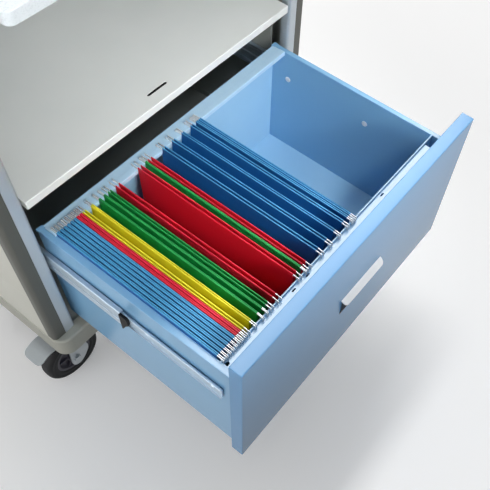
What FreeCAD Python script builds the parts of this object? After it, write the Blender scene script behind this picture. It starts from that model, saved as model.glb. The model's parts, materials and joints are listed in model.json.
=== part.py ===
import FreeCAD, Part
import math
import os

# Medical chart rack: a cart on casters with a hanging-file drawer, an open chart bay and a pull-out
# work board. Millimetres, +Z up, front towards -Y. It is drawn with the drawer pulled out, x = 0 on
# the middle of the cart, y = 0 on the front of the corner posts and z = 0 on the floor. Each piece is
# moved as it is written, so that the origin lies under the middle of the whole object's box.

os.makedirs("parts", exist_ok=True)

# Cart body
opening_width = 616.0
cabinet_depth = 568.0
cabinet_height = 975.0
post_width = 47.0
post_depth = 19.0
post_wall = 2.5
post_nose = 6.0
cover_width = 25.5
cover_thickness = 3.0
cover_radius = 9.0
sheet = 1.5
panel_thickness = 18.0
panel_bow = 9.0
bow_margin = 1.0
crease_height = 142.0
crease_rise = 10.0
liner_setback = 40.0

# Base
base_height = 48.0
base_overhang = 17.0
base_side_overhang = 2.0
base_corner = 26.0
base_rim = 5.0
base_wall = 5.0
base_deck = 16.0
pan_depth = 10.0
pan_sheet = 2.0
pan_front = 7.0
pan_flange_height = 14.0
pan_flange = 1.2
cable_hole_radius = 2.5
cable_hole_y = 240.0
beam_width = 60.0
beam_wall = 3.0
beam_end_inset = 12.0

# Worktop and work board
worktop_thickness = 25.0
worktop_overhang = 13.0
worktop_front = 12.0
worktop_corner = 30.0
worktop_edge = 3.0
frame_depth = 14.0
frame_rail = 18.0
board_thickness = 16.0
board_side_gap = 8.5
board_rear_gap = 7.5
board_pull = 113.0
board_corner = 9.0
board_drop = 23.0
runner_lap = 10.0
runner_cheek = 8.0
groove_play = 0.4
groove_side_play = 1.0

# Chart shelf
shelf_lip = 14.5
shelf_gap = 11.0
shelf_side_gap = 4.5
shelf_sheet = 1.2
shelf_front = 0.7
bracket_inset = 20.0
bracket_lift = 1.0
bracket_drop = 3.0
shelf_rear_gap = 7.5
shelf_slot_length = 44.0
shelf_slot_width = 4.5
shelf_slot_x = -13.0
shelf_slot_y = 26.0

# Drawer
travel = 400.0
front_height = 316.0
front_thickness = 22.6
front_side_gap = 3.2
front_lift = 12.0
front_edge = 1.5
front_inset = 0.4
tray_lift = 4.0
tray_drop = 63.0
tray_sheet = 1.2
tray_wall = 10.0
liner_sheet = 1.0
floor_gap = 8.0
tray_back = 18.9
tray_back_sheet = 1.7
screw_radius = 6.0
screw_head = 1.2
screw_rise = 6.0
screw_front_y = -209.0
screw_rear_y = -22.6

# Rails that the suspension files hang on
rail_sheet = 1.5
rail_rise = 1.0
rear_band = 11.0
rear_band_edge = -11.0
rail_hem = 26.0
front_rail_gap = 31.8
front_rail_width = 2.5
front_rail_drop = 5.5
front_notch = 24.0
rail_slot_length = 9.0
rail_slot_width = 3.0
rail_slots = (-125.0, -90.0, 116.0)

# Pull
pull_width = 106.0
pull_top = 135.0
pull_bottom = 186.0
pull_reach = 10.7
pull_lip_drop = 9.0
pull_depth = 12.6
pull_wall = 1.5
hood_overlap = 4.0
hood_thickness = 3.5
hood_corner = 8.0

# Ball slides
slide_space = 12.7
slide_drop = 67.0
slide_sheet = 1.5
cabinet_member_height = 52.0
middle_member_height = 42.0
drawer_member_height = 30.0
cabinet_member_depth = 9.0
middle_member_depth = 7.5
drawer_member_depth = 4.7
middle_member_inset = 3.0
cabinet_member_start = 42.0
cabinet_member_length = 408.0
middle_member_length = 406.0
drawer_member_gap = 20.0
drawer_member_length = 390.0
pad_height = 2.0
pad_width = 14.0
pad_length = 22.0
pad_places = (0.06, 0.48, 0.88)
outer_ball = 3.2
inner_ball = 4.2
outer_cage_length = 170.0
inner_cage_length = 150.0
cage_sheet = 0.6
cage_tip_gap = 0.5
balls_per_row = 8
bumper_length = 18.0
bumper_height = 44.0
bumper_width = 5.0
bumper_gap = 0.4
bumper_rise = 1.0

# Casters
wheel_diameter = 125.0
tyre_width = 32.0
tyre_edge = 6.0
hub_radius = 41.0
hub_rim = 5.0
hub_width = 26.0
hub_web = 8.0
boss_radius = 14.0
axle_radius = 5.0
running_gap = 0.3
trail = 38.0
swivel_inset = 23.0
swivel_setback = 43.0
leg_gap = 39.0
leg_sheet = 3.0
tyre_gap = 3.0
crown_sheet = 4.0
crown_reach = 50.0
axle_end = 2.0
hinge_pin_radius = 2.0
barrel_play = 0.5
race_radius = 28.0
race_height = 7.7
cup_height = 12.0
plate_length = 76.0
plate_width = 56.0
plate_sheet = 6.0
pin_radius = 6.0
pin_head_radius = 10.0
pin_head = 6.0
nut_radius = 7.5
nut_thickness = 4.5
nut_sides = 6
pedal_sheet = 3.0
pedal_hinge = 60.0
pedal_fold = 85.0
pedal_reach = 110.0
pedal_left = -18.0
pedal_right = 30.0
pedal_tip_drop = 12.0
pedal_barrel = 4.0
ear_step = 0.6
pedal_chamfer = 12.0

# Outline of a fork leg under the crown, as distances along the trail and up from the axle
leg_outline = ((-9.0, 35.5), (-14.0, -12.5), (-6.0, -26.5), (5.0, -29.5), (24.0, -12.5), (33.0, 5.5),
               (21.0, 34.5))
leg_rear_reach = 12.0
leg_front_reach = 40.0

# Suspension files, placed from the left wall of the drawer
file_front_gap = 6.8
file_rear_gap = 2.0
file_top_height = 9.5
file_floor_gap = 22.5
file_top_half = 2.3
file_shoulder = 110.0
file_toe = 0.6
file_heel = 8.0
rod_height = 6.5
rod_thickness = 1.6
rod_lift = 0.3
rod_clearance = 0.3
rod_overhang = 3.1

# How many files of each colour, how far apart they hang, and the half thickness at the belly
first_file = 4.6
blue_count = 6
blue_pitch = 6.8
blue_belly = 2.8
red_count = 2
red_start = 5.9
red_pitch = 6.3
yellow_count = 2
yellow_start = 7.2
yellow_pitch = 16.0
yellow_belly = 3.9
green_count = 3
green_start = 16.3
green_pitch = 10.6
green_belly = 4.6
end_red_start = 17.6
middle_start = 50.0
middle_pitch = 23.8
middle_green_start = 14.6
middle_green_belly = 4.0
open_count = 4
open_start = 33.0
open_pitch = 23.0
open_belly = 8.6
last_count = 2
last_start = 13.0
last_pitch = 7.4

# How closely an edge is matched to the place that it is looked for
match = 0.01

# Levels and half widths worked out from the sizes above
crown_top = wheel_diameter + tyre_gap + crown_sheet
caster_height = crown_top + cup_height + running_gap + race_height + plate_sheet
front_swivel_y = swivel_setback
rear_swivel_y = cabinet_depth - swivel_setback
opening_half = opening_width / 2
swivel_x = opening_half - swivel_inset
post_outer = opening_half + post_width
cover_inner = post_outer - cover_width
base_top = caster_height + base_height
pan_floor = base_top - pan_depth
body_top = cabinet_height - worktop_thickness
liner_rear = cabinet_depth - post_depth - sheet
shelf_rear = liner_rear - shelf_rear_gap
board_length = liner_rear - board_rear_gap
front_bottom = base_top + front_lift
front_top = front_bottom + front_height
front_half = opening_half - front_side_gap
front_outer = front_inset - travel
front_inner = front_outer + front_thickness
tray_half = opening_half - slide_space
wall_half = tray_half - tray_wall
tray_bottom = front_bottom + tray_lift
tray_top = front_top - tray_drop
tray_floor = tray_bottom + floor_gap
rail_top = tray_top + rail_rise
slide_centre = tray_top - slide_drop
middle_member_start = cabinet_member_start - travel / 2
drawer_member_start = front_inner + drawer_member_gap
drawer_web = tray_half + pad_height
shelf_bottom = front_top + shelf_gap
shelf_top = shelf_bottom + shelf_lip
board_top = body_top - board_drop
board_bottom = board_top - board_thickness
frame_bottom = body_top - frame_depth
axle_height = wheel_diameter / 2
front_reach = front_outer - pull_reach
rear_reach = rear_swivel_y + trail + axle_height
shift_y = -(front_reach + rear_reach) / 2


def box(x0, x1, y0, y1, z0, z1):
    return Part.makeBox(x1 - x0, y1 - y0, z1 - z0, FreeCAD.Vector(x0, y0, z0))


def rod_x(radius, x0, x1, y, z):
    return Part.makeCylinder(radius, x1 - x0, FreeCAD.Vector(x0, y, z), FreeCAD.Vector(1, 0, 0))


def rod_y(radius, y0, y1, x, z):
    return Part.makeCylinder(radius, y1 - y0, FreeCAD.Vector(x, y0, z), FreeCAD.Vector(0, 1, 0))


def rod_z(radius, z0, z1, x, y):
    return Part.makeCylinder(radius, z1 - z0, FreeCAD.Vector(x, y, z0), FreeCAD.Vector(0, 0, 1))


def prism(corners, direction):
    wire = Part.makePolygon([FreeCAD.Vector(*corner) for corner in list(corners) + [corners[0]]])
    return Part.Face(wire).extrude(FreeCAD.Vector(*direction))


def prism_x(outline, x0, x1):
    return prism([(x0, y, z) for y, z in outline], (x1 - x0, 0, 0))


def prism_y(outline, y0, y1):
    return prism([(x, y0, z) for x, z in outline], (0, y1 - y0, 0))


def prism_z(outline, z0, z1):
    return prism([(x, y, z0) for x, y in outline], (0, 0, z1 - z0))


def edges_along_z(shape):
    return [edge for edge in shape.Edges if abs(edge.tangentAt(edge.FirstParameter).z) > 1 - match]


def edges_at_z(shape, z):
    return [edge for edge in shape.Edges
            if abs(edge.BoundBox.ZMin - z) < match and abs(edge.BoundBox.ZMax - z) < match]


def rounded_plate(half_width, y0, y1, z0, z1, corner):
    plate = box(-half_width, half_width, y0, y1, z0, z1)
    return plate.makeFillet(corner, edges_along_z(plate))


def mirrored(shape):
    return shape.mirror(FreeCAD.Vector(0, 0, 0), FreeCAD.Vector(1, 0, 0))


def both_sides(shape):
    return [shape, mirrored(shape)]


def front_and_rear(shape):
    return [shape, shape.mirror(FreeCAD.Vector(0, cabinet_depth / 2, 0), FreeCAD.Vector(0, 1, 0))]


def fused(shapes):
    return shapes[0].multiFuse(shapes[1:]).removeSplitter()


def save(node, shapes):
    solids = []
    for shape in shapes:
        solids.extend(shape.Solids)
    whole = solids[0] if len(solids) == 1 else Part.makeCompound(solids)
    moved = whole.copy()
    moved.translate(FreeCAD.Vector(0, shift_y, 0))
    moved.exportStep("parts/" + node + ".step")


def base_moulding():
    half = post_outer + base_side_overhang
    front = -base_overhang
    rear = cabinet_depth + base_overhang
    body = rounded_plate(half, front, rear, caster_height, base_top, base_corner)
    body = body.makeFillet(base_rim, edges_at_z(body, base_top))
    cavity = rounded_plate(half - base_wall, front + base_wall, rear - base_wall,
                           caster_height, base_top - base_deck, base_corner - base_wall)
    recess = box(-opening_half, opening_half, pan_front, liner_rear, pan_floor, base_top)
    return body.cut(cavity).cut(recess)


def caster_beams():
    half = post_outer - beam_end_inset
    top = base_top - base_deck
    beams = []
    for y in (front_swivel_y, rear_swivel_y):
        outer = box(-half, half, y - beam_width / 2, y + beam_width / 2, caster_height, top)
        inner = box(-half, half, y - beam_width / 2 + beam_wall, y + beam_width / 2 - beam_wall,
                    caster_height + beam_wall, top - beam_wall)
        beams.append(outer.cut(inner))
    return beams


def base_pan():
    floor = box(-opening_half, opening_half, pan_front, liner_rear, pan_floor, pan_floor + pan_sheet)
    lip = box(-opening_half, opening_half, pan_front, pan_front + pan_flange, pan_floor, base_top)
    flange = box(opening_half - pan_flange, opening_half, pan_front + post_depth, liner_rear,
                 pan_floor, pan_floor + pan_sheet + pan_flange_height)
    hole = rod_x(cable_hole_radius, opening_half - pan_flange, opening_half, cable_hole_y,
                 pan_floor + pan_sheet + pan_flange_height / 2)
    return fused([floor, lip] + both_sides(flange.cut(hole)))


def corner_post():
    # A hollow extrusion whose outer third is set back to carry the corner cover.
    seat = cover_radius - cover_thickness
    inner = opening_half
    outer = post_outer - cover_thickness
    body = box(inner, outer, 0, post_depth, base_top, body_top)
    step = box(cover_inner, outer, 0, cover_thickness, base_top, body_top)
    body = body.cut(step)
    nose = [edge for edge in edges_along_z(body)
            if abs(edge.BoundBox.XMin - inner) < match and abs(edge.BoundBox.YMin) < match]
    body = body.makeFillet(post_nose, nose)
    corner = [edge for edge in edges_along_z(body)
              if abs(edge.BoundBox.XMin - outer) < match
              and abs(edge.BoundBox.YMin - cover_thickness) < match]
    body = body.makeFillet(seat, corner)
    core = box(inner + post_wall, outer - post_wall, post_nose + post_wall / 2,
               post_depth - post_wall, base_top, body_top)
    return body.cut(core)


def corner_cover():
    # The L-shaped cover that wraps the outer corner of a post.
    outer = box(cover_inner, post_outer, 0, post_depth, base_top, body_top)
    corner = [edge for edge in edges_along_z(outer)
              if abs(edge.BoundBox.XMin - post_outer) < match and abs(edge.BoundBox.YMin) < match]
    outer = outer.makeFillet(cover_radius, corner)
    inner = box(cover_inner, post_outer - cover_thickness, cover_thickness, post_depth,
                base_top, body_top)
    inner_corner = [edge for edge in edges_along_z(inner)
                    if abs(edge.BoundBox.XMin - post_outer + cover_thickness) < match
                    and abs(edge.BoundBox.YMin - cover_thickness) < match]
    inner = inner.makeFillet(cover_radius - cover_thickness, inner_corner)
    return outer.cut(inner)


def side_panel():
    # Flat below the crease and bowed outwards above it.
    inner = post_outer - panel_thickness
    middle = cabinet_depth / 2
    front = post_depth
    rear = cabinet_depth - post_depth
    arc = Part.Arc(FreeCAD.Vector(post_outer, front, base_top),
                   FreeCAD.Vector(post_outer + panel_bow, middle, base_top),
                   FreeCAD.Vector(post_outer, rear, base_top)).toShape()
    back = Part.makePolygon([FreeCAD.Vector(post_outer, rear, base_top),
                             FreeCAD.Vector(inner, rear, base_top),
                             FreeCAD.Vector(inner, front, base_top),
                             FreeCAD.Vector(post_outer, front, base_top)])
    plan = Part.Face(Part.Wire([arc] + back.Edges))
    bowed = plan.extrude(FreeCAD.Vector(0, 0, body_top - base_top))
    crease = base_top + crease_height
    bulge = post_outer + panel_bow + bow_margin
    profile = [(inner, base_top), (post_outer, base_top), (post_outer, crease - crease_rise),
               (bulge, crease), (bulge, body_top), (inner, body_top)]
    return bowed.common(prism_y(profile, front, rear))


def side_liner():
    return box(opening_half, opening_half + sheet, liner_setback, liner_rear, base_top, body_top)


def back_panel():
    half = post_outer - panel_thickness
    return box(-half, half, liner_rear, liner_rear + sheet, base_top, body_top)


def top_frame():
    outer = box(-opening_half, opening_half, post_nose, liner_rear, frame_bottom, body_top)
    inner = box(-opening_half + frame_rail, opening_half - frame_rail, post_nose + frame_rail,
                liner_rear - frame_rail, frame_bottom, body_top)
    return outer.cut(inner)


def worktop():
    slab = rounded_plate(post_outer + worktop_overhang, -worktop_front, cabinet_depth + worktop_front,
                         body_top, cabinet_height, worktop_corner)
    return slab.makeFillet(worktop_edge, edges_at_z(slab, cabinet_height))


def work_board():
    half = opening_half - board_side_gap
    board = box(-half, half, -board_pull, board_length - board_pull, board_bottom, board_top)
    front = [edge for edge in edges_along_z(board) if edge.BoundBox.YMax < 0]
    return board.makeFillet(board_corner, front)


def board_runner():
    inner = opening_half - board_side_gap - runner_lap
    rail = box(inner, opening_half, post_depth, board_length,
               board_bottom - runner_cheek, frame_bottom)
    groove = box(inner, opening_half - board_side_gap + groove_side_play, post_depth, board_length,
                 board_bottom - groove_play, board_top + groove_play)
    return rail.cut(groove)


def chart_shelf():
    half = opening_half - shelf_side_gap
    tray = box(-half, half, shelf_front, shelf_rear, shelf_bottom, shelf_top)
    under = box(-half + shelf_sheet, half - shelf_sheet, shelf_front + shelf_sheet,
                shelf_rear - shelf_sheet, shelf_bottom, shelf_top - shelf_sheet)
    radius = shelf_slot_width / 2
    straight = shelf_slot_length / 2 - radius
    slot = fused([box(shelf_slot_x - straight, shelf_slot_x + straight, shelf_slot_y - radius,
                      shelf_slot_y + radius, shelf_bottom, shelf_top)]
                 + [rod_z(radius, shelf_bottom, shelf_top, shelf_slot_x + end * straight, shelf_slot_y)
                    for end in (-1, 1)])
    return tray.cut(under).cut(slot)


def shelf_bracket():
    return box(opening_half - shelf_side_gap, opening_half, liner_setback + bracket_inset,
               shelf_rear - bracket_inset, shelf_bottom + bracket_lift, shelf_top - bracket_drop)


def front_pan():
    # The folded outer skin of the drawer front, with the window for the pull.
    outer = box(-front_half, front_half, front_outer, front_inner - tray_sheet, front_bottom, front_top)
    corners = [edge for edge in outer.Edges
               if edge.BoundBox.YMax < front_outer + match]
    outer = outer.makeFillet(front_edge, corners)
    inner = box(-front_half + tray_sheet, front_half - tray_sheet, front_outer + tray_sheet,
                front_inner, front_bottom + tray_sheet, front_top - tray_sheet)
    window = box(-pull_width / 2, pull_width / 2, front_outer, front_inner - tray_sheet,
                 front_top - pull_bottom, front_top - pull_top)
    return outer.cut(inner).cut(window)


def front_backplate():
    return box(-front_half, front_half, front_inner - tray_sheet, front_inner, front_bottom, front_top)


def pull_cup():
    # A cup let into the drawer front, with two triangular cheeks that carry the hood.
    half = pull_width / 2
    top = front_top - pull_top
    bottom = front_top - pull_bottom
    cup = box(-half, half, front_outer, front_outer + pull_depth, bottom, top)
    pocket = box(-half + pull_wall, half - pull_wall, front_outer, front_outer + pull_depth - pull_wall,
                 bottom + pull_wall, top - pull_wall)
    cheek = prism_x([(front_outer, top), (front_outer - pull_reach + hood_thickness, top - pull_lip_drop),
                     (front_outer, bottom)], half - pull_wall, half)
    return fused([cup.cut(pocket)] + both_sides(cheek)).cut(pull_hood())


def pull_hood():
    half = pull_width / 2 + hood_overlap
    top = front_top - pull_top
    outline = [(front_outer, top), (front_outer - pull_reach, top - pull_lip_drop + hood_thickness / 2),
               (front_outer - pull_reach, top - pull_lip_drop - hood_thickness / 2),
               (front_outer, top - hood_thickness)]
    plan = box(-half, half, front_outer - pull_reach, front_outer, top - pull_lip_drop * 2, top)
    ends = [edge for edge in edges_along_z(plan) if edge.BoundBox.YMax < front_outer - pull_reach / 2]
    return prism_x(outline, -half, half).common(plan.makeFillet(hood_corner, ends))


def drawer_shell():
    # Bottom, sides and back folded from one sheet, the top edges turned inwards.
    outer = box(-tray_half, tray_half, front_inner, tray_back, tray_bottom, tray_top)
    inner = box(-tray_half + tray_sheet, tray_half - tray_sheet, front_inner,
                tray_back - tray_back_sheet, tray_bottom + tray_sheet, tray_top - tray_sheet)
    mouth = box(-wall_half, wall_half, front_inner, tray_back - tray_back_sheet,
                tray_top - tray_sheet, tray_top)
    return outer.cut(inner).cut(mouth)


def drawer_liner():
    bottom = tray_bottom + tray_sheet
    top = tray_top - tray_sheet
    back = tray_back - tray_back_sheet
    outer = box(-wall_half - liner_sheet, wall_half + liner_sheet, front_inner, back, bottom, top)
    inside = box(-wall_half, wall_half, front_inner, back, tray_floor, top)
    under = box(-wall_half, wall_half, front_inner, back, bottom, tray_floor - liner_sheet)
    return outer.cut(inside).cut(under)


def rear_rail():
    back = tray_back - tray_back_sheet
    ledge = box(-wall_half, wall_half, rear_band_edge, back, tray_top - rail_sheet, tray_top)
    band = box(-wall_half, wall_half, rear_band_edge, rear_band_edge + rear_band,
               tray_top - rail_sheet, rail_top)
    hem = box(-wall_half, wall_half, rear_band_edge, rear_band_edge + rail_sheet,
              tray_top - rail_hem, tray_top)
    return fused([ledge, band, hem])


def front_rail():
    rear = front_inner + front_rail_gap
    lip = box(-wall_half, wall_half, rear, rear + front_rail_width, tray_top - rail_hem, rail_top)
    level = tray_top - front_rail_drop + rail_sheet
    ledge = box(-wall_half, wall_half - front_notch, front_inner, rear, level - rail_sheet, level)
    for x in rail_slots:
        ledge = ledge.cut(box(x - rail_slot_length / 2, x + rail_slot_length / 2,
                              rear - 2 * rail_slot_width, rear - rail_slot_width,
                              level - rail_sheet, level))
    return fused([lip, ledge])


def wall_screws():
    screws = []
    for y in (screw_front_y, screw_rear_y):
        head = rod_x(screw_radius, wall_half - screw_head, wall_half, y, slide_centre + screw_rise)
        dome = [edge for edge in head.Edges if edge.BoundBox.XMax < wall_half - screw_head + match]
        screws.extend(both_sides(head.makeFillet(screw_head / 2, dome)))
    return screws


def channel(x_web, x_flange, height, y0, y1):
    # A C-shaped slide member: its web at x_web and its flanges reaching to x_flange.
    low = min(x_web, x_flange)
    high = max(x_web, x_flange)
    outer = box(low, high, y0, y1, slide_centre - height / 2, slide_centre + height / 2)
    if x_web > x_flange:
        hollow = (low, high - slide_sheet)
    else:
        hollow = (low + slide_sheet, high)
    inner = box(hollow[0], hollow[1], y0, y1, slide_centre - height / 2 + slide_sheet,
                slide_centre + height / 2 - slide_sheet)
    return outer.cut(inner)


def cabinet_member():
    return channel(opening_half, opening_half - cabinet_member_depth, cabinet_member_height,
                   cabinet_member_start, cabinet_member_start + cabinet_member_length)


def middle_member():
    web = opening_half - middle_member_inset
    return channel(web, web - middle_member_depth, middle_member_height,
                   middle_member_start, middle_member_start + middle_member_length)


def drawer_member():
    # Stands off the tray's wall on three pressed pads.
    member = channel(drawer_web, drawer_web + drawer_member_depth, drawer_member_height,
                     drawer_member_start, drawer_member_start + drawer_member_length)
    pads = []
    for place in pad_places:
        y = drawer_member_start + drawer_member_length * place
        pads.append(box(tray_half, drawer_web + slide_sheet, y - pad_length / 2, y + pad_length / 2,
                        slide_centre - pad_width / 2, slide_centre + pad_width / 2))
    return fused([member] + pads)


def ball_cage(x_ball, x_web, x_tip, row_height, ball, middle, length):
    # A thin U-shaped cage with a row of balls along each arm.
    arm = cage_sheet / 2
    start = middle - length / 2
    pieces = [box(x_web, x_web + cage_sheet, start, start + length,
                  slide_centre - row_height, slide_centre + row_height)]
    for side in (-1, 1):
        z = slide_centre + side * row_height
        pieces.append(box(x_tip, x_web + cage_sheet, start, start + length, z - arm, z + arm))
        for index in range(balls_per_row):
            y = start + length * (index + 0.5) / balls_per_row
            pieces.append(Part.makeSphere(ball / 2, FreeCAD.Vector(x_ball, y, z), FreeCAD.Vector(0, 1, 0)))
    return fused(pieces)


def outer_cage():
    # Runs between the cabinet member's flanges and the middle member's.
    row = (cabinet_member_height / 2 - slide_sheet + middle_member_height / 2) / 2
    web_gap = middle_member_inset - slide_sheet
    x_web = opening_half - middle_member_inset + (web_gap - cage_sheet) / 2
    tip = opening_half - cabinet_member_depth + cage_tip_gap
    ball_x = (tip + opening_half - middle_member_inset) / 2
    middle = (cabinet_member_start + middle_member_start + middle_member_length) / 2
    return ball_cage(ball_x, x_web, tip, row, outer_ball, middle, outer_cage_length)


def inner_cage():
    # Runs between the middle member's flanges and the drawer member's.
    row = (middle_member_height / 2 - slide_sheet + drawer_member_height / 2) / 2
    middle_web = opening_half - middle_member_inset - slide_sheet
    drawer_tip = drawer_web + drawer_member_depth
    x_web = (middle_web + drawer_tip - cage_sheet) / 2
    tip = opening_half - middle_member_inset - middle_member_depth + cage_tip_gap
    ball_x = (tip + drawer_tip) / 2
    middle = (middle_member_start + drawer_member_start + drawer_member_length) / 2
    return ball_cage(ball_x, x_web, tip, row, inner_ball, middle, inner_cage_length)


def slide_bumper():
    outer = opening_half - bumper_gap
    end = middle_member_start
    return box(outer - bumper_width, outer, end - bumper_length, end,
               slide_centre + middle_member_height / 2 + bumper_rise - bumper_height,
               slide_centre + middle_member_height / 2 + bumper_rise)


# A caster is drawn about its swivel axis, trailing towards -X, and then turned and placed.

def caster_fork():
    crown_bottom = crown_top - crown_sheet
    outline = [(-leg_rear_reach - trail, crown_bottom)]
    outline += [(x - trail, z + axle_height) for x, z in leg_outline]
    outline += [(leg_front_reach - trail, crown_bottom)]
    legs = [prism_y(outline, y, y + leg_sheet) for y in (-leg_gap / 2 - leg_sheet, leg_gap / 2)]
    half = leg_gap / 2 + leg_sheet
    crown = box(-crown_reach, race_radius, -half, half, crown_bottom, crown_top)
    cup = rod_z(race_radius, crown_top, crown_top + cup_height, 0, 0)
    ears = [box(-pedal_hinge - pedal_barrel, -crown_reach, y, y + leg_sheet,
                crown_top - 2 * pedal_barrel, crown_top - ear_step)
            for y in (-half, half - leg_sheet)]
    hinge_bore = rod_y(hinge_pin_radius + running_gap, -half, half, -pedal_hinge, crown_top - pedal_barrel)
    bore = rod_z(pin_radius + running_gap, crown_bottom, crown_top + cup_height, 0, 0)
    axle_bore = rod_y(axle_radius, -half, half, -trail, axle_height)
    body = fused(legs + [crown, cup] + ears).cut(bore).cut(hinge_bore).cut(axle_bore)
    axle = rod_y(axle_radius, -half - axle_end, half + axle_end, -trail, axle_height)
    nuts = [hex_nut(-half - nut_thickness), hex_nut(half)]
    return [body, fused([axle] + nuts)]


def hex_nut(y0):
    corners = []
    for index in range(nut_sides):
        angle = 2 * math.pi * index / nut_sides
        corners.append((-trail + nut_radius * math.cos(angle), axle_height + nut_radius * math.sin(angle)))
    return prism_y(corners, y0, y0 + nut_thickness)


def caster_tyre():
    half = tyre_width / 2
    tyre = rod_y(axle_height, -half, half, -trail, axle_height)
    rims = [edge for edge in tyre.Edges if edge.BoundBox.YLength < match]
    tyre = tyre.makeFillet(tyre_edge, rims)
    return tyre.cut(rod_y(hub_radius, -half, half, -trail, axle_height))


def caster_hub():
    web = rod_y(hub_radius, -hub_web / 2, hub_web / 2, -trail, axle_height)
    rim = rod_y(hub_radius, -hub_width / 2, hub_width / 2, -trail, axle_height)
    rim = rim.cut(rod_y(hub_radius - hub_rim, -hub_width / 2, hub_width / 2, -trail, axle_height))
    boss_half = leg_gap / 2 - running_gap
    boss = rod_y(boss_radius, -boss_half, boss_half, -trail, axle_height)
    bore = rod_y(axle_radius + running_gap, -boss_half, boss_half, -trail, axle_height)
    return fused([web, rim, boss]).cut(bore)


def brake_pedal():
    top = crown_top + pedal_barrel
    bottom = top - pedal_sheet
    profile = [(-pedal_hinge, bottom), (-pedal_fold, bottom), (-pedal_reach, bottom - pedal_tip_drop),
               (-pedal_reach, top - pedal_tip_drop), (-pedal_fold, top), (-pedal_hinge, top)]
    plate = prism_y(profile, pedal_left, pedal_right)
    for y, side in ((pedal_left, 1), (pedal_right, -1)):
        corner = [(-pedal_reach, y), (-pedal_reach + pedal_chamfer, y),
                  (-pedal_reach, y + side * pedal_chamfer)]
        plate = plate.cut(prism_z(corner, 0, top + pedal_sheet))
    ear_gap = leg_gap / 2 - running_gap
    barrel = rod_y(pedal_barrel - barrel_play, -ear_gap, ear_gap, -pedal_hinge, crown_top - pedal_barrel)
    pin = rod_y(hinge_pin_radius, -ear_gap - leg_sheet, ear_gap + leg_sheet, -pedal_hinge,
                crown_top - pedal_barrel)
    neck = box(-pedal_hinge - pedal_sheet, -pedal_hinge + barrel_play, -ear_gap, ear_gap,
               crown_top - pedal_barrel, top)
    return fused([plate, neck, barrel, pin])


def caster_plate():
    top = caster_height
    plate = box(-plate_length / 2, plate_length / 2, -plate_width / 2, plate_width / 2,
                top - plate_sheet, top)
    race_bottom = crown_top + cup_height + running_gap
    race = rod_z(race_radius, race_bottom, top, 0, 0)
    head_top = crown_top - crown_sheet - running_gap
    pin = rod_z(pin_radius, head_top - pin_head, top, 0, 0)
    head = rod_z(pin_head_radius, head_top - pin_head, head_top, 0, 0)
    return fused([plate, race, pin, head])


def placed(shape, side, rear):
    # side is -1 on the left and 1 on the right; a rear caster trails towards +Y.
    copy = shape.copy()
    if rear:
        copy.rotate(FreeCAD.Vector(0, 0, 0), FreeCAD.Vector(0, 0, 1), -90)
    copy.translate(FreeCAD.Vector(-swivel_x, rear_swivel_y if rear else front_swivel_y, 0))
    return copy if side < 0 else mirrored(copy)


def file_body(x, belly):
    # A hanging file as a closed wedge: narrow at the rod and fullest at the shoulder.
    top = tray_top + file_top_height
    shoulder = top - file_shoulder
    bottom = tray_floor + file_floor_gap
    toe = belly * file_toe
    outline = [(x - file_top_half, top), (x + file_top_half, top), (x + belly, shoulder),
               (x + belly, bottom + file_heel), (x + toe, bottom), (x - toe, bottom),
               (x - belly, bottom + file_heel), (x - belly, shoulder)]
    front = front_inner + front_rail_gap + front_rail_width + file_front_gap
    rear = rear_band_edge - file_rear_gap
    body = prism_y(outline, front, rear)
    half = rod_thickness / 2 + rod_clearance
    foot = rail_top + rod_lift - rod_clearance
    slot = box(x - half, x + half, front, rear, foot, foot + rod_height + 2 * rod_clearance)
    return body.cut(slot)


def file_rod(x):
    front = front_inner + front_rail_gap - rod_overhang
    rear = rear_band_edge + rear_band + rod_overhang
    foot = rail_top + rod_lift
    return box(x - rod_thickness / 2, x + rod_thickness / 2, front, rear, foot, foot + rod_height)


def row(first, pitch, count):
    return [first + pitch * index for index in range(count)]


def files(places, belly):
    return [file_body(x, belly) for x in places]


def rods(places):
    return [file_rod(x) for x in places]


# Where each colour of file hangs, from the drawer's left wall to the right
left_blue = row(first_file - wall_half, blue_pitch, blue_count)
left_red = row(left_blue[-1] + red_start, red_pitch, red_count)
left_yellow = row(left_red[-1] + yellow_start, yellow_pitch, yellow_count)
left_green = row(left_yellow[-1] + green_start, green_pitch, green_count)
end_red = row(left_green[-1] + end_red_start, red_pitch, 1)
middle_red = row(end_red[-1] + middle_start, middle_pitch, 2)
middle_green = row(middle_red[0] + middle_green_start, green_pitch, 1)
right_blue = row(middle_red[-1] + open_start, open_pitch, open_count)
last_blue = row(right_blue[-1] + last_start, last_pitch, last_count)

save("base_moulding", [base_moulding()])
save("caster_beams", caster_beams())
save("base_pan", [base_pan()])
save("front_posts", both_sides(corner_post()))
save("rear_posts", [front_and_rear(post)[1] for post in both_sides(corner_post())])
save("corner_covers", [cover for side in both_sides(corner_cover()) for cover in front_and_rear(side)])
save("side_panels", both_sides(side_panel()))
save("side_liners", both_sides(side_liner()))
save("back_panel", [back_panel()])
save("top_frame", [top_frame()])
save("worktop", [worktop()])
save("board_runners", both_sides(board_runner()))
save("work_board", [work_board()])
save("chart_shelf", [chart_shelf()])
save("shelf_brackets", both_sides(shelf_bracket()))

save("drawer_front", [front_pan()])
save("drawer_backplate", [front_backplate()])
save("pull_cup", [pull_cup()])
save("pull_hood", [pull_hood()])
save("drawer_shell", [drawer_shell()])
save("drawer_liner", [drawer_liner()])
save("rear_rail", [rear_rail()])
save("front_rail", [front_rail()])
save("wall_screws", wall_screws())

slide_pieces = {"cabinet_member": cabinet_member(), "middle_member": middle_member(),
                "drawer_member": drawer_member(), "outer_cage": outer_cage(),
                "inner_cage": inner_cage(), "slide_bumper": slide_bumper()}
for name, piece in slide_pieces.items():
    save(name + "_right", [piece])
    save(name + "_left", [mirrored(piece)])

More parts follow.
